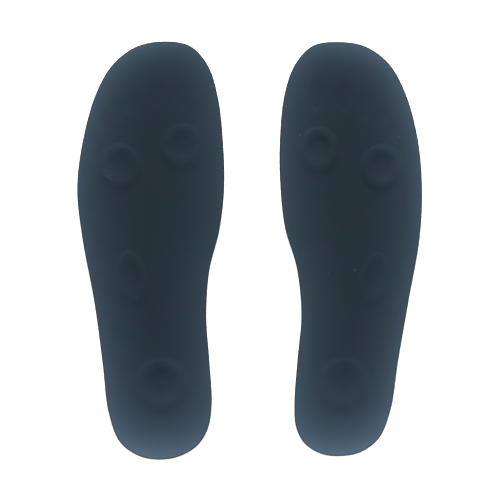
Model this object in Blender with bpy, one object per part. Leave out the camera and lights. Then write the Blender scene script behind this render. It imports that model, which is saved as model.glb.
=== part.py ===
"""A pair of cushioned insoles, lying side by side with their toes towards +Y.

Each insole is a stack of layers that share one outline: a base cloth, a moulded foam bed with
four blind pockets, a gel pad seated in each pocket, and a top cloth that follows the pads.
The foam bed is cut behind the ball of the foot, along the line where the insole bends.

The two are a mirrored pair, cut and laid with the small differences that soft pieces have, so
each has its own outline and pad places. Across an insole, u runs towards the big toe's side.
Along it, v runs from the end of the heel to the toes. Sizes are in millimetres until a mesh is
placed in the scene, which is in metres with +Z up. The origin lies on the surface that the
pair rests on, in the middle of the pair.
"""

import math
from typing import NamedTuple

import bmesh
import bpy
import numpy as np
from mathutils import Matrix, Vector
from mathutils.geometry import delaunay_2d_cdt

METRES = 0.001  # one millimetre

# The outlines' points (u, v), from the end of the heel up the big toe's side and back down the
# outer side. A smooth closed curve runs through them.
LEFT_OUTLINE = [
    (8.5, 1.0), (20.5, 3.5), (31.0, 10.0), (37.5, 20.5), (40.0, 36.0), (38.5, 64.0), (36.5, 93.0),
    (38.5, 123.0), (45.0, 149.0), (48.0, 175.0), (47.5, 203.0), (44.0, 235.0), (37.5, 255.5),
    (26.0, 268.0), (9.0, 271.0), (-9.0, 267.5), (-24.0, 256.0), (-34.5, 238.0), (-43.0, 208.5),
    (-47.0, 176.0), (-43.5, 143.0), (-36.0, 103.0), (-30.5, 63.0), (-26.5, 31.0), (-19.0, 12.0),
    (-6.0, 3.0),
]
RIGHT_OUTLINE = [
    (8.5, 2.0), (20.5, 3.5), (31.0, 10.0), (36.5, 20.5), (37.5, 36.0), (35.5, 64.0), (33.0, 93.0),
    (36.0, 123.5), (43.5, 149.0), (46.5, 175.0), (47.0, 203.0), (44.0, 235.0), (37.0, 255.0),
    (25.5, 267.0), (9.0, 269.5), (-8.5, 266.5), (-23.5, 255.5), (-34.0, 237.0), (-42.0, 208.0),
    (-45.0, 176.0), (-43.5, 143.0), (-36.5, 103.0), (-29.5, 63.0), (-24.5, 31.5), (-17.0, 13.5),
    (-5.0, 4.5),
]
POINTS_PER_SPAN = 3
FINE_POINTS_PER_SPAN = 12

# Thicknesses, from the underside up. Layers keep a small gap where the real ones are bonded.
BASE_CLOTH = 0.6
FOAM = 3.3
TOP_CLOTH = 1.0
GAP = 0.3

# The pressed rim: the top rolls down towards the cut edge, and the underside lifts a little.
ROLL_WIDTH = 10.5
ROLL_DROP = 2.1
LIFT_WIDTH = 4.0
LIFT = 0.5

# The end of the heel curls up from the surface it lies on.
CURL_LENGTH = 30.0
CURL_RISE = 3.0
CURL_LINES = (16.0, 23.0, 30.0)
CURL_SPACING = 9.0

# Pads: a raised ring stands under the cloth, and the middle of the pad is dished.
RING_RISE = 1.2
DISH_SINK = 0.3
POCKET_DEPTH = 2.0
RING_STATIONS = (-1.0, -0.5, 0.0, 0.5, 1.0)  # across the ring, from its inner foot to its outer
RING_POINTS = 20

# The flex line lies this far behind the line through the two ball pads.
FLEX_BEHIND_PADS = 19.0


class Pad(NamedTuple):
    """A gel pad: the centre and half axes of its ring's crest, and half the ring's width."""

    u: float
    v: float
    along: float
    across: float
    half_width: float
    turn: float = 0.0  # degrees, from v towards the outer side


LEFT_PADS = {
    "ball_inner_pad": Pad(21.5, 203.9, 11.3, 11.3, 3.8),
    "ball_outer_pad": Pad(-18.9, 190.6, 11.3, 11.3, 3.8),
    "midfoot_pad": Pad(-12.1, 119.0, 14.9, 7.1, 3.2, 10.0),
    "heel_pad": Pad(6.6, 50.2, 13.3, 13.3, 4.8),
}
RIGHT_PADS = {
    "ball_inner_pad": Pad(21.1, 201.2, 11.3, 11.3, 3.8),
    "ball_outer_pad": Pad(-18.3, 189.9, 11.3, 11.3, 3.8),
    "midfoot_pad": Pad(-14.7, 116.8, 14.9, 7.1, 3.2, 10.0),
    "heel_pad": Pad(5.8, 49.2, 13.3, 13.3, 4.8),
}
FRONT_PADS = ("ball_inner_pad", "ball_outer_pad")

MATERIALS = {
    "top_cloth": ((0.020, 0.031, 0.042), 0.95),
    "foam": ((0.035, 0.038, 0.042), 0.85),
    "gel": ((0.045, 0.140, 0.230), 0.35),
    "base_cloth": ((0.024, 0.026, 0.030), 0.9),
}


def closed_curve(points, steps):
    """A centripetal Catmull-Rom curve through the points, with this many steps in each span."""
    ring = [np.array(point) for point in points]
    found = []
    for i, start in enumerate(ring):
        before, end, after = ring[i - 1], ring[(i + 1) % len(ring)], ring[(i + 2) % len(ring)]
        knot_0 = -math.sqrt(np.linalg.norm(start - before))
        knot_2 = math.sqrt(np.linalg.norm(end - start))
        knot_3 = knot_2 + math.sqrt(np.linalg.norm(after - end))
        for step in range(steps):
            t = knot_2 * step / steps
            a = (before * (0 - t) + start * (t - knot_0)) / (0 - knot_0)
            b = (start * (knot_2 - t) + end * t) / knot_2
            c = (end * (knot_3 - t) + after * (t - knot_2)) / (knot_3 - knot_2)
            near = (a * (knot_2 - t) + b * (t - knot_0)) / (knot_2 - knot_0)
            far = (b * (knot_3 - t) + c * t) / knot_3
            found.append((near * (knot_2 - t) + far * t) / knot_2)
    return np.array(found)


class Side:
    """One insole: which way u runs, the place of its plane's origin, its outline and its pads."""

    def __init__(self, direction, x, heel_y, outline, pads):
        self.direction = direction
        self.x = x
        self.heel_y = heel_y
        self.edge = closed_curve(outline, POINTS_PER_SPAN)
        self.fine_edge = closed_curve(outline, FINE_POINTS_PER_SPAN)
        self.pads = pads


SIDES = {
    "left": Side(1, -64.6, -136.0, LEFT_OUTLINE, LEFT_PADS),
    "right": Side(-1, 66.6, -134.8, RIGHT_OUTLINE, RIGHT_PADS),
}


def rim_distance(side, uv):
    """How far each point lies from the outline."""
    start = side.fine_edge
    along = np.roll(start, -1, axis=0) - start
    away = uv[:, None] - start
    share = np.clip((away * along).sum(2) / (along**2).sum(1), 0, 1)
    return np.linalg.norm(away - share[..., None] * along, axis=2).min(1)


def rim_share(side, uv, width):
    """1 at the outline, falling smoothly to 0 at this distance inside it."""
    return np.clip(1 - rim_distance(side, uv) / width, 0, 1) ** 2


def curl(uv):
    return CURL_RISE * np.clip(1 - uv[:, 1] / CURL_LENGTH, 0, 1) ** 2


def crest_offset(uv, pad):
    """How far each point lies outside a pad's crest line, in half widths of its ring."""
    angle = math.radians(pad.turn)
    away = uv - (pad.u, pad.v)
    along = away[:, 1] * math.cos(angle) - away[:, 0] * math.sin(angle)
    across = away[:, 0] * math.cos(angle) + away[:, 1] * math.sin(angle)
    reach = np.hypot(along / pad.along, across / pad.across)
    slope = np.hypot(along / pad.along**2, across / pad.across**2) / np.maximum(reach, 1e-6)
    return (reach - 1) / np.maximum(slope, 1e-6) / pad.half_width


def relief(side, uv):
    """The height of the cloth over the pads: a round ring, and a shallow dish inside it."""
    height = np.zeros(len(uv))
    for pad in side.pads.values():
        offset = crest_offset(uv, pad)
        height += RING_RISE * (1 - np.clip(offset, -1, 1) ** 2) ** 2
        inward = np.clip(-offset, 0, 1)
        height -= DISH_SINK * inward**2 * (3 - 2 * inward)
    return height


def base_under(side, uv):
    return LIFT * rim_share(side, uv, LIFT_WIDTH) + curl(uv)


def base_over(side, uv):
    return base_under(side, uv) + BASE_CLOTH


def foam_under(side, uv):
    return base_over(side, uv) + GAP


def foam_over(side, uv):
    roll = ROLL_DROP * rim_share(side, uv, ROLL_WIDTH)
    return BASE_CLOTH + GAP + FOAM - roll + curl(uv)


def cloth_under(side, uv):
    return foam_over(side, uv) + GAP + relief(side, uv)


def cloth_over(side, uv):
    return cloth_under(side, uv) + TOP_CLOTH


def inset(side, distance):
    """The outline's points, moved straight inwards."""
    along = np.roll(side.edge, -1, axis=0) - np.roll(side.edge, 1, axis=0)
    inward = np.column_stack([-along[:, 1], along[:, 0]])
    return side.edge + distance * inward / np.linalg.norm(inward, axis=1)[:, None]


def ellipse(pad, grow):
    """Points round a pad, this far outside its crest line."""
    angle = math.radians(pad.turn)
    turns = np.arange(RING_POINTS) * 2 * math.pi / RING_POINTS
    along = (pad.along + grow) * np.cos(turns)
    across = (pad.across + grow) * np.sin(turns)
    u = pad.u + across * math.cos(angle) - along * math.sin(angle)
    v = pad.v + along * math.cos(angle) + across * math.sin(angle)
    return np.column_stack([u, v])


def pad_stations(pad):
    return [ellipse(pad, station * pad.half_width) for station in RING_STATIONS]


def curl_points(side):
    """A few points across the heel, where the layers curl up inside the rim."""
    low, high = side.edge[:, 0].min(), side.edge[:, 0].max()
    rows = [(u, v) for v in CURL_LINES for u in np.arange(low, high, CURL_SPACING)]
    rows = np.array(rows)
    heel = side.edge[side.edge[:, 1] < CURL_LENGTH, 0]
    inside = (rows[:, 0] > heel.min()) & (rows[:, 0] < heel.max())
    clear = rim_distance(side, rows) > ROLL_WIDTH + 1
    outside_pad = crest_offset(rows, side.pads["heel_pad"]) > 1
    return rows[clear & inside & outside_pad]


def flat_fill(side, *extra):
    """(points, triangles) filling the outline. The outline's own points come first."""
    loops = [side.edge, inset(side, LIFT_WIDTH), inset(side, ROLL_WIDTH)]
    points = np.vstack([*loops, curl_points(side), *extra])
    count = len(side.edge)
    edges = [(i, (i + 1) % count) for i in range(count)]
    vectors = [Vector(point) for point in points.tolist()]
    found, _, faces, came_from, _, _ = delaunay_2d_cdt(vectors, edges, [], 1, 1e-6)
    source = [origins[0] for origins in came_from]
    assert len(found) == len(points)
    return points, [[source[corner] for corner in face] for face in faces]


def placed(side, uv, height):
    """Scene positions, in metres, of points in an insole's own plane."""
    x = side.x + side.direction * uv[:, 0]
    y = side.heel_y + uv[:, 1]
    return np.column_stack([x, y, height]) * METRES


def solid(rings):
    """A closed mesh from (positions, triangles) for its underside and its top.

    Both have the same number of points round their edge, listed first, and a wall joins them.
    """
    (low, low_faces), (high, high_faces), rim = rings
    mesh = bmesh.new()
    low_points = [mesh.verts.new(point) for point in low]
    high_points = [mesh.verts.new(point) for point in high]
    for face in low_faces:
        mesh.faces.new([low_points[i] for i in face])
    for face in high_faces:
        mesh.faces.new([high_points[i] for i in face])
    for i in range(rim):
        j = (i + 1) % rim
        mesh.faces.new([low_points[i], low_points[j], high_points[j], high_points[i]])
    bmesh.ops.recalc_face_normals(mesh, faces=mesh.faces)
    return mesh


def layer(side, under, over, fill):
    """A closed solid between two height functions, over the whole outline."""
    points, faces = fill
    low = placed(side, points, under(side, points))
    high = placed(side, points, over(side, points))
    return solid(((low, faces), (high, faces), len(side.edge)))


def cut_at_flex_line(mesh, line, keep):
    """Keeps one side of the flex line, half a gap clear of it, and closes the cut."""
    point, forward = line
    bmesh.ops.bisect_plane(
        mesh,
        geom=[*mesh.verts, *mesh.edges, *mesh.faces],
        plane_co=point + forward * keep * GAP / 2 * METRES,
        plane_no=forward * keep,
        clear_inner=True,
    )
    open_edges = [edge for edge in mesh.edges if edge.is_boundary]
    bmesh.ops.holes_fill(mesh, edges=open_edges, sides=0)
    bmesh.ops.recalc_face_normals(mesh, faces=mesh.faces)
    return mesh


def pad_mesh(side, pad):
    """A gel pad: flat underneath, upright at its edge, with a ring and a dished middle on top."""
    centre = np.array([[pad.u, pad.v]])
    stations = pad_stations(pad)[::-1]
    top = np.vstack([*stations, centre])
    floor = foam_over(side, centre)[0] - POCKET_DEPTH + GAP
    count = RING_POINTS
    top_faces = []
    for ring in range(len(stations) - 1):
        for i in range(count):
            j = (i + 1) % count
            outer, inner = ring * count, (ring + 1) * count
            top_faces.append([outer + i, outer + j, inner + j, inner + i])
    last = (len(stations) - 1) * count
    middle = len(top) - 1
    top_faces += [[last + i, last + (i + 1) % count, middle] for i in range(count)]
    bottom = np.vstack([stations[0], centre])
    bottom_faces = [[i, (i + 1) % count, count] for i in range(count)]
    high = placed(side, top, cloth_under(side, top) - GAP)
    low = placed(side, bottom, np.full(len(bottom), floor))
    return solid(((low, bottom_faces), (high, top_faces), count))


def pocket_mesh(side, pad):
    """What is cut from the foam for a pad: its outline with a gap all round."""
    outline = ellipse(pad, pad.half_width + GAP)
    middle = foam_over(side, np.array([[pad.u, pad.v]]))[0]
    low = placed(side, outline, np.full(RING_POINTS, middle - POCKET_DEPTH))
    high = placed(side, outline, np.full(RING_POINTS, middle + POCKET_DEPTH))
    face = [list(range(RING_POINTS))]
    return solid(((low, face), (high, face), RING_POINTS))


def flex_line(side):
    """(a point on the flex line, the level direction towards the toes at right angles to it)."""
    inner, outer = (side.pads[name] for name in FRONT_PADS)
    ends = np.array([[outer.u, outer.v], [inner.u, inner.v]])
    across = (ends[1] - ends[0]) / np.linalg.norm(ends[1] - ends[0])
    middle = ends.mean(0) + FLEX_BEHIND_PADS * np.array([across[1], -across[0]])
    line = placed(side, np.array([middle, middle + across]), [0, 0])
    run = Vector(line[1] - line[0])
    forward = Vector((-run.y, run.x, 0)) * side.direction
    point = Vector(line[0]) + Vector((0, 0, hinge_height() * METRES))
    return point, forward.normalized()


def hinge_height():
    """The flex line runs along the top of the cloth, above every piece that turns about it."""
    return BASE_CLOTH + FOAM + TOP_CLOTH + 2 * GAP


def clear_scene():
    for found in list(bpy.data.objects):
        bpy.data.objects.remove(found, do_unlink=True)


def make_material(name):
    colour, roughness = MATERIALS[name]
    material = bpy.data.materials.new(name)
    material.use_nodes = True
    shader = material.node_tree.nodes["Principled BSDF"]
    shader.inputs["Base Color"].default_value = (*colour, 1)
    shader.inputs["Roughness"].default_value = roughness
    shader.inputs["Metallic"].default_value = 0
    material.diffuse_color = (*colour, 1)
    return material


def make_empty(name, matrix, parent=None):
    empty = bpy.data.objects.new(name, None)
    bpy.context.collection.objects.link(empty)
    empty.empty_display_size = 0.02
    if parent:
        empty.parent = parent
        matrix = parent.matrix_world.inverted() @ matrix
    empty.matrix_local = matrix
    bpy.context.view_layer.update()
    return empty


def make_object(name, mesh, parent, material=None, origin=None):
    """An object of this mesh, given in the scene's frame, under an empty."""
    data = bpy.data.meshes.new(name)
    mesh.to_mesh(data)
    mesh.free()
    place = Matrix.Translation(origin) if origin else parent.matrix_world.copy()
    data.transform(place.inverted())
    data.shade_smooth()
    data.set_sharp_from_angle(angle=math.radians(40))
    piece = bpy.data.objects.new(name, data)
    bpy.context.collection.objects.link(piece)
    piece.parent = parent
    piece.matrix_local = parent.matrix_world.inverted() @ place
    if material:
        data.materials.append(material)
    return piece


def cut_pocket(foam, pad_name, side, parent):
    mesh = pocket_mesh(side, side.pads[pad_name])
    cutter = make_object(f"{foam.name}_{pad_name}_pocket", mesh, parent)
    cutter.hide_render = True
    cutter.display_type = "WIRE"
    pocket = foam.modifiers.new(pad_name, "BOOLEAN")
    pocket.operation = "DIFFERENCE"
    pocket.object = cutter


def make_insole(name, side, materials):
    corner = Vector((side.x, side.heel_y, 0)) * METRES
    insole = make_empty(f"{name}_insole", Matrix.Translation(corner))
    line = flex_line(side)
    point, forward = line
    axis = forward.cross(Vector((0, 0, 1)))
    turn = Matrix((axis, forward, Vector((0, 0, 1)))).transposed().to_4x4()
    hinge = make_empty(f"{name}_ball_flex", Matrix.Translation(point) @ turn, insole)

    plain = flat_fill(side)
    over_pads = flat_fill(side, *[ring for pad in side.pads.values() for ring in pad_stations(pad)])
    base = layer(side, base_under, base_over, plain)
    make_object(f"{name}_base_cloth", base, insole, materials["base_cloth"])
    cloth = layer(side, cloth_under, cloth_over, over_pads)
    make_object(f"{name}_top_cloth", cloth, insole, materials["top_cloth"])

    halves = {}
    for half, keep, parent in (("rear", -1, insole), ("front", 1, hinge)):
        foam = layer(side, foam_under, foam_over, plain)
        foam = cut_at_flex_line(foam, line, keep)
        halves[half] = make_object(f"{name}_foam_{half}", foam, parent, materials["foam"])

    for pad_name, pad in side.pads.items():
        front = pad_name in FRONT_PADS
        parent = hinge if front else insole
        cut_pocket(halves["front" if front else "rear"], pad_name, side, parent)
        centre = placed(side, np.array([[pad.u, pad.v]]), [0])[0]
        mesh = pad_mesh(side, pad)
        make_object(f"{name}_{pad_name}", mesh, parent, materials["gel"], Vector(centre))


def main():
    clear_scene()
    materials = {name: make_material(name) for name in MATERIALS}
    for name, side in SIDES.items():
        make_insole(name, side, materials)
    bpy.context.view_layer.update()


main()
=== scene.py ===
import math
from typing import NamedTuple

import bpy
import numpy as np
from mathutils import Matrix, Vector, noise
from mathutils.geometry import delaunay_2d_cdt


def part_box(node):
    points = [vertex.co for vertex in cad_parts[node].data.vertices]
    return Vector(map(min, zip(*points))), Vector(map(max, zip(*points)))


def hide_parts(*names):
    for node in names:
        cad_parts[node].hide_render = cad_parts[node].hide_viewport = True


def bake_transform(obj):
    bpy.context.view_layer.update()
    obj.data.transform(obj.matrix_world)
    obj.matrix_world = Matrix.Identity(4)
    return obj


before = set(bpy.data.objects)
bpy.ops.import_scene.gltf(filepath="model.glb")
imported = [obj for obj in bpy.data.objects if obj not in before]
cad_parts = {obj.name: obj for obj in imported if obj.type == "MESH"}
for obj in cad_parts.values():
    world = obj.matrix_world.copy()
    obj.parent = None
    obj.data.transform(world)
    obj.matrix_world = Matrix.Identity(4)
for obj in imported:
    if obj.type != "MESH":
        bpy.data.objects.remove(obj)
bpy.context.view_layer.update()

# The looks of a pair of cushioned insoles. Each insole is a base lining, a foam bed, four gel pads
# and a top cloth. In an insole's own plane, u runs across it towards the big toe's side and v runs
# from the end of the heel to the toes. Sizes are in millimetres until a mesh is placed, apart from
# those of the set, of the bend and of the materials, which are in metres.
METRES = 0.001
TINY = 1e-6  # what a length is kept above before it divides something
CHUNK = 2000  # how many points are measured against an outline at once

# ---------------------------------------------------------------- sizes

# The outlines' points (u, v), from the end of the heel up the big toe's side and back.
OUTLINES = {
    "left": [
        (8.5, 1.0), (20.5, 3.5), (31.0, 10.0), (37.5, 20.5), (40.0, 36.0), (38.5, 64.0),
        (36.5, 93.0), (38.5, 123.0), (45.0, 149.0), (48.0, 175.0), (47.5, 203.0), (44.0, 235.0),
        (37.5, 255.5), (26.0, 268.0), (9.0, 271.0), (-9.0, 267.5), (-24.0, 256.0), (-34.5, 238.0),
        (-43.0, 208.5), (-47.0, 176.0), (-43.5, 143.0), (-36.0, 103.0), (-30.5, 63.0),
        (-26.5, 31.0), (-19.0, 12.0), (-6.0, 3.0),
    ],
    "right": [
        (8.5, 2.0), (20.5, 3.5), (31.0, 10.0), (36.5, 20.5), (37.5, 36.0), (35.5, 64.0),
        (33.0, 93.0), (36.0, 123.5), (43.5, 149.0), (46.5, 175.0), (47.0, 203.0), (44.0, 235.0),
        (37.0, 255.0), (25.5, 267.0), (9.0, 269.5), (-8.5, 266.5), (-23.5, 255.5), (-34.0, 237.0),
        (-42.0, 208.0), (-45.0, 176.0), (-43.5, 143.0), (-36.5, 103.0), (-29.5, 63.0),
        (-24.5, 31.5), (-17.0, 13.5), (-5.0, 4.5),
    ],
}
POINTS_PER_SPAN = 16

# Thicknesses of the layers in the middle of an insole.
BASE_CLOTH = 0.7
FOAM = 3.7
TOP_CLOTH = 1.1

# The top rolls down to the cut edge, and the underside lifts a little there.
ROLL_WIDTH = 17.0
ROLL_DROP = 2.3
ROLL_POWER = 2.4
LIFT_WIDTH = 4.0
LIFT = 0.5

# The heel's end curls up, and its rim is drawn up all round into a shallow cup.
CURL_LENGTH = 34.0
CURL_RISE = 3.0
CUP_LENGTH = 90.0
CUP_WIDTH = 14.0
CUP_RISE = 1.6

# The cloth over a pad: a round ring with a soft bowl inside it. The ring falls away steeply
# on the side it leans to and gently on the other: these are its widths there, in half widths.
STEEP_REACH = 0.9
GENTLE_REACH = 2.5
BOWL_SINK = 0.4  # how far its bottom lies below the level around the ring, in rises
BOWL_REACH = 1.35  # the slope of its wall: larger is steeper
BOWL_BACK = 0.8  # how far its middle lies behind the ring's
UNEVEN_SIZE = 8.0  # the ring isn't quite even: over this distance its height varies
UNEVEN_SHARE = 0.2
POCKET_DEPTH = 2.0  # of the blind pocket in the foam, from the bottom of the bowl


class Pad(NamedTuple):
    """A gel pad: the centre and half axes of its ring's crest, and half the ring's width."""

    u: float
    v: float
    along: float
    across: float
    half_width: float
    rise: float
    shade: float  # how much painted shade darkens its bowl
    lean: float  # where the ring is steepest: degrees, from v towards u
    turn: float = 0.0  # degrees, from v towards the outer side


PADS = {
    "left": {
        "ball_inner": Pad(21.1, 203.7, 11.5, 10.2, 3.3, 0.85, 0.0, -5.0),
        "ball_outer": Pad(-18.7, 190.8, 11.3, 10.3, 3.3, 0.90, 0.0, 30.0),
        "midfoot": Pad(-11.5, 119.0, 14.9, 7.1, 2.5, 0.60, 0.01, 10.0, 10.0),
        "heel": Pad(7.4, 50.2, 13.3, 13.3, 3.9, 0.85, 0.02, 0.0),
    },
    "right": {
        "ball_inner": Pad(22.1, 200.8, 11.5, 9.6, 3.3, 1.10, 0.0, 5.0),
        "ball_outer": Pad(-18.0, 189.3, 11.2, 9.9, 3.3, 1.05, 0.0, 30.0),
        "midfoot": Pad(-13.8, 116.8, 14.9, 7.1, 2.5, 0.55, 0.0, 10.0, 10.0),
        "heel": Pad(5.8, 49.2, 13.3, 13.3, 3.9, 0.70, 0.0, 10.0),
    },
}

# Shallow hollows under the toes, from the big toe: u, v, half sizes across and along, depth.
# Their walls are steep at the heel's end and soft at the other: these are shares of the sizes.
TOES = {
    "left": [
        (22.0, 237.0, 7.0, 11.0, 0.35),
        (4.7, 237.5, 6.5, 11.0, 0.35),
        (-11.5, 231.0, 6.0, 8.5, 0.40),
        (-21.5, 226.0, 5.5, 8.0, 0.35),
        (-29.0, 220.0, 5.0, 7.0, 0.30),
    ],
    "right": [
        (22.8, 236.0, 6.0, 12.4, 0.80),
        (5.5, 235.3, 6.3, 11.6, 0.80),
        (-8.3, 228.5, 6.0, 10.5, 0.40),
        (-18.0, 222.0, 5.5, 8.0, 0.35),
        (-27.0, 213.0, 5.0, 7.0, 0.30),
    ],
}
TOE_STEEP = 0.25
TOE_SOFT = 0.80

# The top cloth isn't quite even, which gives its surface slight waves.
WAVE_SIZE = 38.0
WAVE_HEIGHT = 0.10

# ---------------------------------------------------------------- outlines and pads


def closed_curve(points, steps):
    """A centripetal Catmull-Rom curve through the points, with this many steps in each span."""
    ring = [np.array(point) for point in points]
    found = []
    for i, start in enumerate(ring):
        before, end, after = ring[i - 1], ring[(i + 1) % len(ring)], ring[(i + 2) % len(ring)]
        knot_0 = -math.sqrt(np.linalg.norm(start - before))
        knot_2 = math.sqrt(np.linalg.norm(end - start))
        knot_3 = knot_2 + math.sqrt(np.linalg.norm(after - end))
        for step in range(steps):
            t = knot_2 * step / steps
            a = (before * (0 - t) + start * (t - knot_0)) / (0 - knot_0)
            b = (start * (knot_2 - t) + end * t) / knot_2
            c = (end * (knot_3 - t) + after * (t - knot_2)) / (knot_3 - knot_2)
            near = (a * (knot_2 - t) + b * (t - knot_0)) / (knot_2 - knot_0)
            far = (b * (knot_3 - t) + c * t) / knot_3
            found.append((near * (knot_2 - t) + far * t) / knot_2)
    return np.array(found)


def outward(loop):
    """The level directions that point out of a closed loop, which runs anticlockwise."""
    along = np.roll(loop, -1, axis=0) - np.roll(loop, 1, axis=0)
    out = np.column_stack([along[:, 1], -along[:, 0]])
    return out / np.linalg.norm(out, axis=1)[:, None]


class Side:
    """One insole: its outline, its pads and its place, which is read from the CAD model."""

    def __init__(self, name, direction):
        self.name = name
        self.direction = direction  # which way u runs along X
        self.pads = PADS[name]
        self.edge = closed_curve(OUTLINES[name], POINTS_PER_SPAN)
        low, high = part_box(f"{name}_base_cloth")
        (low_u, low_v), (high_u, high_v) = self.edge.min(0), self.edge.max(0)
        self.x = (low.x + high.x) / 2 - direction * METRES * (low_u + high_u) / 2
        self.y = (low.y + high.y) / 2 - METRES * (low_v + high_v) / 2

    def place(self, uv, height):
        x = self.x + self.direction * METRES * uv[:, 0]
        y = self.y + METRES * uv[:, 1]
        return np.column_stack([x, y, np.asarray(height) * METRES])

    def inset(self, distance):
        return self.edge - distance * outward(self.edge)

    def rim_distance(self, uv):
        """How far each point lies from the outline."""
        along = np.roll(self.edge, -1, axis=0) - self.edge
        found = []
        for part in np.array_split(uv, max(1, len(uv) // CHUNK)):
            away = part[:, None] - self.edge
            share = np.clip((away * along).sum(2) / (along**2).sum(1), 0, 1)
            found.append(np.linalg.norm(away - share[..., None] * along, axis=2).min(1))
        return np.concatenate(found)

    def inside(self, uv):
        """True for each point inside the outline."""
        start, end = self.edge, np.roll(self.edge, -1, axis=0)
        spans = (start[:, 1] > uv[:, 1:]) != (end[:, 1] > uv[:, 1:])
        rise = np.where(end[:, 1] == start[:, 1], 1, end[:, 1] - start[:, 1])
        crossing = start[:, 0] + (end[:, 0] - start[:, 0]) / rise * (uv[:, 1:] - start[:, 1])
        return (spans & (uv[:, :1] < crossing)).sum(1) % 2 == 1


def smooth(t):
    t = np.clip(t, 0, 1)
    return t * t * (3 - 2 * t)


def crest_place(uv, pad):
    """Where each point lies against a pad's crest line: its share of the way out from the centre,
    and how far it is outside the line in half widths of the ring."""
    angle = math.radians(pad.turn)
    away = uv - (pad.u, pad.v)
    along = away[:, 1] * math.cos(angle) - away[:, 0] * math.sin(angle)
    across = away[:, 0] * math.cos(angle) + away[:, 1] * math.sin(angle)
    reach = np.hypot(along / pad.along, across / pad.across)
    slope = np.hypot(along / pad.along**2, across / pad.across**2) / np.maximum(reach, TINY)
    return reach, (reach - 1) / np.maximum(slope, TINY) / pad.half_width


def crest_offset(uv, pad):
    return crest_place(uv, pad)[1]


RING_COUNT = 56  # points in each ring round a pad


def ring_points(pad, grow):
    """Points round a pad, this far outside its crest line."""
    angle = math.radians(pad.turn)
    turns = np.arange(RING_COUNT) * 2 * math.pi / RING_COUNT
    along = (pad.along + grow) * np.cos(turns)
    across = (pad.across + grow) * np.sin(turns)
    u = pad.u + across * math.cos(angle) - along * math.sin(angle)
    v = pad.v + along * math.cos(angle) + across * math.sin(angle)
    return np.column_stack([u, v])


# ---------------------------------------------------------------- flat meshes

FILL_INSIDE = 1  # the mode of the fill that keeps only the triangles inside the edges
FILL_CLOSEST = 1e-7  # the fill takes points closer than this as one


class Plan:
    """A flat triangle mesh inside the outline, with the loop of points round its edge."""

    def __init__(self, side, points, triangles, rim):
        self.side = side
        self.points = points
        self.triangles = triangles
        self.rim = rim
        self.distance = side.rim_distance(points)

    @classmethod
    def filled(cls, side, loops, extra):
        """Fills the first loop, with points of the other loops and extra ones inside it."""
        points = np.vstack([*loops, *extra])
        count = len(loops[0])
        edges = [(i, (i + 1) % count) for i in range(count)]
        vectors = [Vector(point) for point in points.tolist()]
        _, _, faces, came_from, _, _ = delaunay_2d_cdt(vectors, edges, [], FILL_INSIDE, FILL_CLOSEST)
        source = np.array([origins[0] for origins in came_from])
        return cls(side, points, source[np.array(faces)], np.arange(count))

    def split(self):
        """Each triangle cut into four, at the middles of its edges."""
        corners = self.triangles
        pairs = np.vstack([corners[:, [0, 1]], corners[:, [1, 2]], corners[:, [2, 0]]])
        edges, index = np.unique(np.sort(pairs, axis=1), axis=0, return_inverse=True)
        a, b, c = index.reshape(3, -1) + len(self.points)
        p, q, r = corners.T
        triangles = np.vstack([
            np.column_stack([p, a, c]),
            np.column_stack([a, q, b]),
            np.column_stack([c, b, r]),
            np.column_stack([a, b, c]),
        ])
        middles = self.points[edges].mean(1)
        place = {tuple(edge): len(self.points) + i for i, edge in enumerate(edges.tolist())}
        rim = []
        for i, j in zip(self.rim.tolist(), np.roll(self.rim, -1).tolist()):
            rim += [i, place[tuple(sorted((i, j)))]]
        fine = Plan(self.side, np.vstack([self.points, middles]), triangles, np.array(rim))
        fine.edges = edges
        return fine

    def carried(self, values):
        """Values at the points that this plan was split from, and at the new ones between them."""
        return np.concatenate([values, values[self.edges].mean(1)])


class Cut(NamedTuple):
    """How a layer is meshed and cut."""

    inset: float  # how far its edge lies inside the outline
    bulge: float  # how far the wall between its two sides bulges out from there
    spacing: float  # of its points
    stations: tuple  # the offsets, in half widths, of its rings of points round the pads


FOAM_CUT = Cut(0.45, 0.15, 5.0, (-1.0, 0.0, 1.0, 1.06, 1.8))
CLOTH_CUT = Cut(0.30, 0.45, 3.2, tuple(np.arange(-1.75, 1.76, 0.25)))
LINING_CUT = Cut(0.30, 0.25, 6.0, (0.0,))

RIM_LOOPS = ((0.9, 1), (1.8, 1), (3.0, 2), (4.6, 2), (6.4, 2))  # inset, and every how many points
CLEAR_SHARE = 0.6  # of the spacing: how close the grid comes to the loops and the rings


def insole_plan(side, cut):
    """A plan of the whole insole, finer at its rim and round its pads."""
    loops = [side.inset(cut.inset)]
    loops += [side.inset(cut.inset + distance)[::step] for distance, step in RIM_LOOPS]
    (low_u, low_v), (high_u, high_v) = side.edge.min(0), side.edge.max(0)
    rows = np.arange(low_v, high_v, cut.spacing * math.sqrt(3) / 2)
    columns = np.arange(low_u, high_u, cut.spacing)
    grid = np.array([(u + cut.spacing / 2 * (i % 2), v) for i, v in enumerate(rows) for u in columns])
    grid = grid[side.inside(grid)]
    clear = CLEAR_SHARE * cut.spacing
    grid = grid[side.rim_distance(grid) > cut.inset + RIM_LOOPS[-1][0] + clear]
    rings = []
    for pad in side.pads.values():
        grid = grid[crest_offset(grid, pad) > max(cut.stations) + clear / pad.half_width]
        rings += [ring_points(pad, station * pad.half_width) for station in cut.stations]
        rings.append(np.array([[pad.u, pad.v]]))
    return Plan.filled(side, loops, [grid, *rings])


# ---------------------------------------------------------------- heights


def waves(side, uv, size):
    """Smooth noise in the insole's plane, about -0.5 to 0.5, its own for each insole."""
    spots = (uv / size).tolist()
    return np.array([noise.noise((u, v, side.direction)) for u, v in spots])


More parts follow.
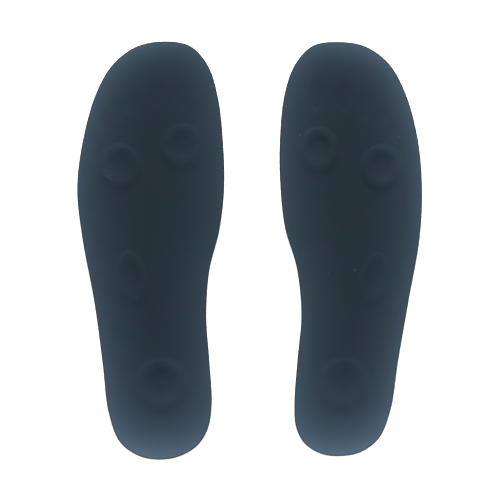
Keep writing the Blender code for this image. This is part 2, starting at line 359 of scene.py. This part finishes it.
def relief(side, uv):
    """The cloth's height over the pads and the toes, against the level around them."""
    height = np.zeros(len(uv))
    uneven = 1 + UNEVEN_SHARE * waves(side, uv, UNEVEN_SIZE)
    for pad in side.pads.values():
        angle = math.radians(pad.lean)
        lean = np.array([math.sin(angle), math.cos(angle)])
        away = uv - (pad.u, pad.v)
        facing = away @ lean / np.maximum(np.linalg.norm(away, axis=1), TINY)
        width = GENTLE_REACH + (STEEP_REACH - GENTLE_REACH) * (1 + facing) / 2
        mound = 1 - smooth(crest_offset(uv, pad) / width)
        reach = crest_place(uv + BOWL_BACK * lean, pad)[0]
        bowl = (1 + BOWL_SINK) * smooth(BOWL_REACH * (1 - reach))
        height += pad.rise * uneven * (mound - bowl)
    for u, v, across, along, depth in TOES[side.name]:
        away = np.column_stack([(uv[:, 0] - u) / across, (uv[:, 1] - v) / along])
        reach = np.maximum(np.linalg.norm(away, axis=1), TINY)
        wall = TOE_STEEP + (TOE_SOFT - TOE_STEEP) * (1 + away[:, 1] / reach) / 2
        height -= depth * smooth((1 - reach) / wall)
    return height


def rim_share(distance, width, power=2.0):
    """Falls from 1 to 0 over this width."""
    return np.clip(1 - distance / width, 0, 1) ** power


def curl(uv, distance):
    """How far the heel's end and rim are drawn up."""
    cup = CUP_RISE * rim_share(distance, CUP_WIDTH) * smooth(1 - uv[:, 1] / CUP_LENGTH)
    return CURL_RISE * rim_share(uv[:, 1], CURL_LENGTH) + cup


def underside(uv, distance):
    return LIFT * rim_share(distance, LIFT_WIDTH) + curl(uv, distance)


def base_top(uv, distance):
    return underside(uv, distance) + BASE_CLOTH


def bed_level(uv, distance):
    """The level of the foam's top, away from the pads and the toes."""
    roll = ROLL_DROP * rim_share(distance, ROLL_WIDTH, ROLL_POWER)
    return BASE_CLOTH + FOAM - roll + curl(uv, distance)


def foam_top(side, uv, distance):
    return bed_level(uv, distance) + np.minimum(relief(side, uv), 0)


def cloth_under(side, uv, distance):
    return bed_level(uv, distance) + relief(side, uv)


def cloth_thickness(side, uv):
    return TOP_CLOTH + WAVE_HEIGHT * waves(side, uv, WAVE_SIZE)


# ---------------------------------------------------------------- painted light and shade

# Painted light on the top cloth, in place of the light falling on its rolled rim and curled heel: how
# much paler it is painted at the outer and the inner rim, at the heel's end and at the toes, with the
# distance over which each fades. It is dark again at the cut edge, as painted shade.
RIM_LIGHT = {"left": (0.42, 0.28), "right": (0.47, 0.34)}
RIM_FADE = 12.5
RIM_TURN = 15.0  # how far from u = 0 the outer rim's painted light gives way to the inner rim's
RIM_HEEL_LIGHT, RIM_HEEL_FADE = 0.26, 45.0
HEEL_LIGHT, HEEL_FADE = 0.56, 26.0
TOE_LIGHT, TOE_FADE, TOE_END = 0.05, 12.0, 270.0
# painted highlight along each pad's crest
CREST_HIGHLIGHT = 0.004
SHADE_SLOPE = 2.0  # of the shade at the wall of a bowl: larger is steeper
CUT_EDGE = 1.6  # the distance over which the painted light would fade to nothing towards the edge, leaving painted shade
CUT_EDGE_SHARE = 0.3  # how much of that distance is left at the edge itself

# Short painted glints on the nap beside the left outer ball pad, from point to point.
GLINTS = {
    "left": [
        ((-29.2, 187.6), (-27.6, 187.1)),
        ((-28.4, 186.0), (-26.9, 185.2)),
        ((-29.6, 184.2), (-27.2, 183.3)),
        ((-26.8, 182.9), (-24.4, 181.6)),
        ((-25.8, 184.2), (-24.8, 183.6)),
    ],
    "right": [],
}
GLINT_LIGHT = 0.20
GLINT_WIDTH = 0.55


def painted_light(side, uv, distance):
    """How much paler (painted light) or darker (painted shade) the cloth is painted at each point."""
    u, v = uv.T
    outer, inner = RIM_LIGHT[side.name]
    # painted light on the rolled rim, stronger on the outer side and near the heel
    rim = (outer + inner) / 2 - (outer - inner) / 2 * np.tanh(u / RIM_TURN)
    paleness = (rim + RIM_HEEL_LIGHT * np.exp(-v / RIM_HEEL_FADE)) * np.exp(-distance / RIM_FADE)
    # painted light on the heel's curled end and on the toes
    paleness += HEEL_LIGHT * np.exp(-v / HEEL_FADE)
    paleness += TOE_LIGHT * np.exp((v - TOE_END) / TOE_FADE)
    for pad in side.pads.values():
        reach, offset = crest_place(uv, pad)
        # painted highlight along the ring's crest
        paleness += CREST_HIGHLIGHT * (1 - np.clip(offset, -1, 1) ** 2) ** 2
        # painted shade in the ring's bowl
        paleness -= pad.shade * smooth(SHADE_SLOPE * (1 - reach))
    # painted glints on the nap
    for start, end in np.array(GLINTS[side.name]).reshape(-1, 2, 2):
        along = end - start
        share = np.clip((uv - start) @ along / (along @ along), 0, 1)
        away = np.linalg.norm(uv - start - share[:, None] * along, axis=1)
        paleness += GLINT_LIGHT * (1 - smooth(away / GLINT_WIDTH))
    # the painted light fades towards the cut edge, which stays dark as painted shade
    return paleness * smooth(CUT_EDGE_SHARE + distance / CUT_EDGE)


# ---------------------------------------------------------------- meshes

WALL_STEPS = 5  # faces up the wall at a mesh's rim

# Each insole's cloths are cut from their own patch of the roll: where it lies, in metres.
PATCHES = {"left": (0.0, 0.0, 0.0), "right": (0.0, 0.5, 0.0)}


def shell(name, plan, low, high, bulge):
    """A closed mesh between two heights. Its wall is rounded, and bulges out this far."""
    side, uv, distance, rim = plan.side, plan.points, plan.distance, plan.rim
    name = f"{side.name}_{name}"
    rim_out = outward(uv[rim])
    middle, half = (low + high)[rim] / 2, (high - low)[rim] / 2
    flat, heights = [uv, uv], [low, high]
    for step in range(1, WALL_STEPS):
        angle = math.pi * (step / WALL_STEPS - 0.5)
        flat.append(uv[rim] + bulge * math.cos(angle) * rim_out)
        heights.append(middle + half * math.sin(angle))
    flat, heights = np.vstack(flat), np.concatenate(heights)
    count, around = len(uv), len(rim)
    wall = [2 * count + step * around + np.arange(around) for step in range(WALL_STEPS - 1)]
    rings = [rim, *wall, count + rim]
    faces = plan.triangles[:, ::-1].tolist() + (plan.triangles + count).tolist()
    for a, b in zip(rings, rings[1:]):
        faces += np.column_stack([a, np.roll(a, -1), np.roll(b, -1), b]).tolist()
    if side.direction < 0:
        faces = [face[::-1] for face in faces]
    mesh = bpy.data.meshes.new(name)
    mesh.from_pydata(side.place(flat, heights).tolist(), [], faces)
    mesh.shade_smooth()
    place = mesh.attributes.new("place", "FLOAT_VECTOR", "POINT")
    spot = np.column_stack([flat, heights]) * METRES + PATCHES[side.name]
    place.data.foreach_set("vector", spot.astype(np.float32).ravel())
    # painted light and shade on the top and the bottom faces; the wall has none
    paleness = np.zeros(len(flat))
    paleness[: 2 * count] = np.tile(painted_light(side, uv, distance), 2)
    painted = mesh.attributes.new("painted_light", "FLOAT", "POINT")
    painted.data.foreach_set("value", paleness.astype(np.float32))
    mesh.update()
    piece = bpy.data.objects.new(name, mesh)
    bpy.context.collection.objects.link(piece)
    return piece


# ---------------------------------------------------------------- settling

# The cloth simulation runs on an enlarged copy, because Blender's cloth keeps a gap that is
# thick against an insole. The cloth is held at its rim and drops onto the foam and the pads.
SETTLE_SCALE = 0.05  # simulated metres for each millimetre
SETTLE_FRAMES = 20
SETTLE_GAP = 0.3  # which the simulation keeps between the cloth and what it lies on
SETTLE_START = 0.8  # how far above the foam the cloth starts
SETTLE_FRICTION = 20
SETTLE_CLOTH = {
    "quality": 6,
    "mass": 0.4,
    "tension_stiffness": 25,
    "compression_stiffness": 25,
    "shear_stiffness": 10,
    "bending_stiffness": 4,
}
COLLISION_QUALITY = 3
HELD_RIM = 1.5  # how wide a strip of the cloth is held at the rim
LYING_PERCENTILE = 25  # this part of the cloth lies on the foam, and its lift counts as none
MOST_LIFT = 0.35  # the cloth stands off no further than this


def simulated_mesh(name, plan, heights):
    mesh = bpy.data.meshes.new(name)
    places = np.column_stack([plan.points, heights]) * SETTLE_SCALE
    mesh.from_pydata(places.tolist(), [], plan.triangles.tolist())
    piece = bpy.data.objects.new(name, mesh)
    bpy.context.collection.objects.link(piece)
    return piece


def settle(plan, bed):
    """How far the cloth stands off what is under it, once it has dropped onto it and settled."""
    ground = simulated_mesh("settle_bed", plan, bed)
    ground.modifiers.new("collision", "COLLISION")
    ground.collision.thickness_outer = SETTLE_GAP / 2 * SETTLE_SCALE
    ground.collision.cloth_friction = SETTLE_FRICTION
    drop = simulated_mesh("settle_cloth", plan, bed + SETTLE_START)
    held = drop.vertex_groups.new(name="held")
    held.add(np.flatnonzero(plan.distance < HELD_RIM).tolist(), 1.0, "REPLACE")
    cloth = drop.modifiers.new("cloth", "CLOTH")
    for key, value in SETTLE_CLOTH.items():
        setattr(cloth.settings, key, value)
    cloth.settings.vertex_group_mass = held.name
    cloth.collision_settings.distance_min = SETTLE_GAP / 2 * SETTLE_SCALE
    cloth.collision_settings.collision_quality = COLLISION_QUALITY
    cloth.point_cache.frame_start = 1
    cloth.point_cache.frame_end = SETTLE_FRAMES
    for frame_number in range(1, SETTLE_FRAMES + 1):
        bpy.context.scene.frame_set(frame_number)
    settled = drop.evaluated_get(bpy.context.evaluated_depsgraph_get()).to_mesh()
    places = np.empty(len(plan.points) * 3, np.float32)
    settled.vertices.foreach_get("co", places)
    lift = places.reshape(-1, 3)[:, 2] / SETTLE_SCALE - bed
    for piece in (drop, ground):
        bpy.data.objects.remove(piece, do_unlink=True)
    bpy.context.scene.frame_set(1)
    lift = np.clip(lift - np.percentile(lift, LYING_PERCENTILE), 0, MOST_LIFT)
    return lift * smooth((plan.distance - HELD_RIM) / ROLL_WIDTH)


def bend_with(piece):
    """Bakes the piece's transform into its mesh; the piece is not bent."""
    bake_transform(piece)


# ---------------------------------------------------------------- materials


class Nodes:
    """Adds shader nodes to a new material, one under another."""

    def __init__(self, name):
        self.material = bpy.data.materials.new(name)
        self.material.use_nodes = True
        self.tree = self.material.node_tree
        self.shader = self.tree.nodes["Principled BSDF"]

    def add(self, kind, inputs=(), **settings):
        node = self.tree.nodes.new(f"ShaderNode{kind}")
        for key, value in settings.items():
            setattr(node, key, value)
        for key, value in dict(inputs).items():
            if isinstance(value, bpy.types.NodeSocket):
                self.tree.links.new(value, node.inputs[key])
            else:
                node.inputs[key].default_value = value
        return node

    def link(self, output, name):
        self.tree.links.new(output, self.shader.inputs[name])

    def set(self, **values):
        for name, value in values.items():
            self.shader.inputs[name.replace("_", " ")].default_value = value

    def mix(self, factor, a, b, blend="MIX"):
        node = self.add("Mix", data_type="RGBA", blend_type=blend)
        for key, value in ((0, factor), (6, a), (7, b)):
            if isinstance(value, bpy.types.NodeSocket):
                self.tree.links.new(value, node.inputs[key])
            else:
                node.inputs[key].default_value = value
        return node.outputs[2]

    def span(self, value, low, high, to_low=0.0, to_high=1.0):
        """Maps a value from one range to another, and stays inside it."""
        inputs = {"Value": value, "From Min": low, "From Max": high}
        inputs.update({"To Min": to_low, "To Max": to_high})
        return self.add("MapRange", inputs, clamp=True).outputs["Result"]

    def attribute(self, name):
        return self.add("Attribute", attribute_name=name, attribute_type="GEOMETRY").outputs

    def place(self):
        return self.attribute("place")["Vector"]

    def noise(self, vector, scale, detail=3.0, roughness=0.5):
        inputs = {"Vector": vector, "Scale": scale, "Detail": detail, "Roughness": roughness}
        return self.add("TexNoise", inputs).outputs["Fac"]

    def cells(self, vector, scale):
        """How far each point is from the middle of its cell."""
        inputs = {"Vector": vector, "Scale": scale}
        return self.add("TexVoronoi", inputs, feature="F1").outputs["Distance"]

    def bump(self, height, strength, distance, normal=None):
        inputs = {"Height": height, "Strength": strength, "Distance": distance}
        if normal:
            inputs["Normal"] = normal
        return self.add("Bump", inputs).outputs["Normal"]


def colour(red, green, blue):
    return (red, green, blue, 1.0)


CLOTH_DARK = colour(0.0080, 0.0140, 0.0185)
CLOTH_TEAL = colour(0.0063, 0.0150, 0.0183)
CLOTH_NAVY = colour(0.0090, 0.0130, 0.0205)
# the colour that painted light adds to the top cloth
CLOTH_PAINTED_LIGHT = colour(0.0400, 0.0630, 0.0930)
CLOTH_SHEEN = colour(0.62, 0.74, 0.90)
NAP_GAIN = colour(1.35, 1.30, 1.25)  # how much paler the raised nap is
LINT = colour(0.12, 0.135, 0.15)
FOAM_DARK = colour(0.018, 0.021, 0.025)
FOAM_PALE = colour(0.026, 0.030, 0.035)
FOAM_PORE_SHADE = colour(0.010, 0.012, 0.014)
LINING_DARK = colour(0.016, 0.018, 0.021)
LINING_PALE = colour(0.023, 0.026, 0.030)
LINING_FIBRE = colour(0.036, 0.040, 0.046)
GEL_DEEP = colour(0.030, 0.120, 0.240)
GEL_PALE = colour(0.050, 0.170, 0.300)
PAPER_DARK = colour(0.90, 0.90, 0.90)
PAPER_PALE = colour(0.92, 0.92, 0.92)
WHITE = colour(1, 1, 1)

# How fine each texture is, in noise cells to a metre.
TINT_CELLS = 55.0
NAP_CELLS = 900.0
KNIT_CELLS = 2100.0
PORE_CELLS = 2600.0
FOAM_CLOUD_CELLS = 220.0
FIBRE_CELLS = 1200.0
LINING_CLOUD_CELLS = 90.0
GEL_CLOUD_CELLS = 160.0
PAPER_CLOUD_CELLS = 3.0

# How far the highest parts of each texture stand up.
NAP_HEIGHT = 0.0002
KNIT_HEIGHT = 0.00012
PORE_HEIGHT = 0.00015
FIBRE_HEIGHT = 0.0002
GEL_HEIGHT = 0.0002

# Specks of lint: cells to a metre, the specks' size in cells, how many of the cells have one,
# how much of a speck is solid, and how gradually the cells are chosen.
LINT_CELLS = 45.0
LINT_SIZE = 0.012
LINT_SHARE = 0.22
LINT_CORE = 0.7
LINT_SOFT = 0.02


def top_cloth_material():
    """Fine brushed knit, dark blue to teal, with painted light towards the rim and painted shade in
    the bowls.
    """
    n = Nodes("top_cloth_brushed_knit")
    spot = n.place()
    tint = n.noise(spot, TINT_CELLS, 3.0)
    body = n.mix(n.span(tint, 0.38, 0.62), CLOTH_TEAL, CLOTH_NAVY)
    body = n.mix(0.5, body, CLOTH_DARK)
    # painted light and shade, added to the cloth's colour from the mesh's attribute
    body = n.mix(n.attribute("painted_light")["Fac"], body, CLOTH_PAINTED_LIGHT, "ADD")
    nap = n.noise(spot, NAP_CELLS, 4.0, 0.65)
    raised = n.mix(1.0, body, NAP_GAIN, "MULTIPLY")
    body = n.mix(n.span(nap, 0.3, 0.7, 0.0, 0.35), body, raised)
    lint = n.add("TexVoronoi", {"Vector": spot, "Scale": LINT_CELLS}, voronoi_dimensions="2D")
    speck = n.span(lint.outputs["Distance"], LINT_CORE * LINT_SIZE, LINT_SIZE, 1.0, 0.0)
    chosen = n.span(lint.outputs["Color"], 1 - LINT_SHARE, 1 + LINT_SOFT - LINT_SHARE)
    speck = n.add("Math", {0: speck, 1: chosen}, operation="MULTIPLY").outputs[0]
    body = n.mix(speck, body, LINT)
    n.link(body, "Base Color")
    knit = n.cells(spot, KNIT_CELLS)
    fine = n.bump(knit, 0.25, KNIT_HEIGHT)
    n.link(n.bump(nap, 0.25, NAP_HEIGHT, fine), "Normal")
    n.link(n.span(nap, 0.2, 0.8, 0.86, 1.0), "Roughness")
    n.set(Metallic=0.0, IOR=1.45, Specular_IOR_Level=0.04)
    n.set(Sheen_Weight=0.04, Sheen_Roughness=0.45, Sheen_Tint=CLOTH_SHEEN)
    return n.material


def foam_material():
    """Closed-cell foam: dark grey, with small pores in its cut edge, darkened with painted shade."""
    n = Nodes("foam_closed_cell")
    spot = n.place()
    pores = n.cells(spot, PORE_CELLS)
    cloud = n.noise(spot, FOAM_CLOUD_CELLS, 3.0)
    body = n.mix(n.span(cloud, 0.3, 0.7), FOAM_DARK, FOAM_PALE)
    # painted shade in the pores
    body = n.mix(n.span(pores, 0.0, 0.5), FOAM_PORE_SHADE, body)
    n.link(body, "Base Color")
    n.link(n.bump(pores, 0.6, PORE_HEIGHT), "Normal")
    n.link(n.span(cloud, 0.3, 0.7, 0.78, 0.92), "Roughness")
    n.set(Metallic=0.0, Specular_IOR_Level=0.3)
    return n.material


def lining_material():
    """Thin felted lining: near black, with short tangled fibres."""
    n = Nodes("base_felt_lining")
    spot = n.place()
    tangle = {"Vector": spot, "Scale": FIBRE_CELLS, "Detail": 5.0, "Distortion": 2.2}
    fibre = n.add("TexNoise", tangle).outputs["Fac"]
    cloud = n.noise(spot, LINING_CLOUD_CELLS, 3.0)
    body = n.mix(n.span(cloud, 0.35, 0.65), LINING_DARK, LINING_PALE)
    body = n.mix(n.span(fibre, 0.5, 0.75, 0.0, 0.8), body, LINING_FIBRE)
    n.link(body, "Base Color")
    n.link(n.bump(fibre, 0.5, FIBRE_HEIGHT), "Normal")
    n.link(n.span(cloud, 0.3, 0.7, 0.85, 0.97), "Roughness")
    n.set(Metallic=0.0, Specular_IOR_Level=0.1, Sheen_Weight=0.02, Sheen_Roughness=0.5)
    return n.material


def gel_material():
    """Clear blue gel with a faint cloudiness."""
    n = Nodes("gel_clear_blue")
    spot = n.place()
    cloud = n.noise(spot, GEL_CLOUD_CELLS, 4.0)
    n.link(n.mix(n.span(cloud, 0.35, 0.65), GEL_DEEP, GEL_PALE), "Base Color")
    n.link(n.bump(cloud, 0.1, GEL_HEIGHT), "Normal")
    n.link(n.span(cloud, 0.3, 0.7, 0.22, 0.34), "Roughness")
    n.set(Metallic=0.0, IOR=1.42, Transmission_Weight=0.45, Coat_Weight=0.15)
    return n.material


def floor_material():
    """Pale paper that glows a little, so that it stays white round the insoles."""
    n = Nodes("floor_pale")
    cloud = n.noise(n.add("NewGeometry").outputs["Position"], PAPER_CLOUD_CELLS, 2.0)
    n.link(n.mix(cloud, PAPER_DARK, PAPER_PALE), "Base Color")
    n.set(Roughness=0.9, Specular_IOR_Level=0.1, Emission_Color=WHITE, Emission_Strength=0.45)
    return n.material


# ---------------------------------------------------------------- pieces

PAD_STATIONS = np.arange(-1.0, 0.76, 0.25)  # the offsets, in half widths, of a pad's rings of points
PAD_GAP = 0.3  # between a pad and the wall of its pocket
PAD_PLAY = 0.05  # between a pad and what is under and over it
PAD_BULGE = 0.25
POCKET_EDGE = 1.03  # the offset, in half widths, of a pocket's wall


def pocket_floor(side, pad):
    """The height of the floor of a pad's pocket."""
    middle = np.array([[pad.u, pad.v]])
    return foam_top(side, middle, side.rim_distance(middle))[0] - POCKET_DEPTH


def pocketed(side, uv, distance):
    """The foam's top, with a blind pocket for each pad."""
    height = foam_top(side, uv, distance)
    for pad in side.pads.values():
        height = np.where(crest_offset(uv, pad) < POCKET_EDGE, pocket_floor(side, pad), height)
    return height


def make_foam(side):
    plan = insole_plan(side, FOAM_CUT).split()
    where = plan.points, plan.distance
    foam = shell("foam_bed", plan, base_top(*where), pocketed(side, *where), FOAM_CUT.bulge)
    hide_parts(f"{side.name}_foam_rear", f"{side.name}_foam_front")
    return foam


def make_cloth(side):
    coarse = insole_plan(side, CLOTH_CUT)
    lift = settle(coarse, cloth_under(side, coarse.points, coarse.distance))
    plan = coarse.split()
    under = cloth_under(side, plan.points, plan.distance) + plan.carried(lift)
    over = under + cloth_thickness(side, plan.points)
    cloth = shell("top_fabric", plan, under, over, CLOTH_CUT.bulge)
    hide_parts(f"{side.name}_top_cloth")
    return cloth


def make_lining(side):
    plan = insole_plan(side, LINING_CUT).split()
    where = plan.points, plan.distance
    lining = shell("base_lining", plan, underside(*where), base_top(*where), LINING_CUT.bulge)
    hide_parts(f"{side.name}_base_cloth")
    return lining


def make_pad(side, name, pad):
    edge = ring_points(pad, pad.half_width - PAD_GAP)
    rings = [ring_points(pad, station * pad.half_width) for station in PAD_STATIONS]
    plan = Plan.filled(side, [edge], [*rings, np.array([[pad.u, pad.v]])]).split()
    floor = np.full(len(plan.points), pocket_floor(side, pad) + PAD_PLAY)
    top = cloth_under(side, plan.points, plan.distance) - PAD_PLAY
    gel = shell(f"{name}_gel", plan, floor, top, PAD_BULGE)
    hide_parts(f"{side.name}_{name}_pad")
    return gel


def make_insole(side, materials):
    foam = make_foam(side)
    cloth = make_cloth(side)
    lining = make_lining(side)
    pieces = [(foam, "foam"), (cloth, "top_cloth"), (lining, "base_cloth")]
    pieces += [(make_pad(side, name, pad), "gel") for name, pad in side.pads.items()]
    for piece, slot in pieces:
        piece.data.materials.append(materials[slot])
        bend_with(piece)


# ---------------------------------------------------------------- set

VIEW_WIDTH = 0.3234  # the width that the square view covers, at the level of TOP_LEVEL
VIEW_MIDDLE = 0.00025  # where its middle lies along X
LENS = 100.0
SENSOR = 36.0
TOP_LEVEL = 0.004
FLOOR_SIZE = 60.0
FLOOR_LEVEL = -0.0001  # just under the linings, which lie at zero
WORLD_LIGHT = 0.5


class Lamp(NamedTuple):
    """A soft rectangular light: its place, what it points at, its size, watts and colour."""

    place: tuple
    aim: tuple
    size: tuple
    power: float
    tint: tuple


LAMPS = {
    "key_toe_side": Lamp((0.0, 1.0, 0.6), (0, 0.02, 0), (0.6, 0.25), 24.0, (1.0, 0.99, 0.97)),
    "left_low": Lamp((-1.1, 0.1, 0.35), (0, 0, 0), (0.3, 0.9), 5.0, (0.94, 0.97, 1.0)),
    "right_low": Lamp((1.1, 0.1, 0.35), (0, 0, 0), (0.3, 0.9), 5.0, (0.94, 0.97, 1.0)),
    "overhead": Lamp((0.0, 0.0, 1.6), (0, 0, 0), (1.2, 1.2), 8.0, (1.0, 1.0, 1.0)),
}


def add_light(name, lamp):
    data = bpy.data.lights.new(name, "AREA")
    data.shape = "RECTANGLE"
    data.size, data.size_y = lamp.size
    data.energy = lamp.power
    data.color = lamp.tint
    light = bpy.data.objects.new(name, data)
    bpy.context.collection.objects.link(light)
    light.location = lamp.place
    facing = Vector(lamp.aim) - Vector(lamp.place)
    light.rotation_euler = facing.to_track_quat("-Z", "Y").to_euler()


def make_floor():
    bpy.ops.mesh.primitive_plane_add(size=FLOOR_SIZE, location=(0, 0, FLOOR_LEVEL))
    floor = bpy.context.object
    floor.name = "floor"
    floor.data.materials.append(floor_material())


def light_world():
    world = bpy.data.worlds.new("studio")
    bpy.context.scene.world = world
    world.use_nodes = True
    background = world.node_tree.nodes["Background"]
    background.inputs["Color"].default_value = WHITE
    background.inputs["Strength"].default_value = WORLD_LIGHT


def add_camera():
    """The camera looks straight down."""
    data = bpy.data.cameras.new("camera")
    data.lens = LENS
    data.sensor_width = SENSOR
    camera = bpy.data.objects.new("camera", data)
    bpy.context.collection.objects.link(camera)
    camera.location = (VIEW_MIDDLE, 0.0, TOP_LEVEL + VIEW_WIDTH * LENS / SENSOR)
    camera.rotation_euler = (0, 0, 0)
    bpy.context.scene.camera = camera
    bpy.context.scene.view_settings.view_transform = "Standard"


def make_set():
    make_floor()
    light_world()
    for name, lamp in LAMPS.items():
        add_light(name, lamp)
    add_camera()


def main():
    materials = {
        "foam": foam_material(),
        "top_cloth": top_cloth_material(),
        "base_cloth": lining_material(),
        "gel": gel_material(),
    }
    for name, direction in (("left", 1), ("right", -1)):
        make_insole(Side(name, direction), materials)
    make_set()


main()
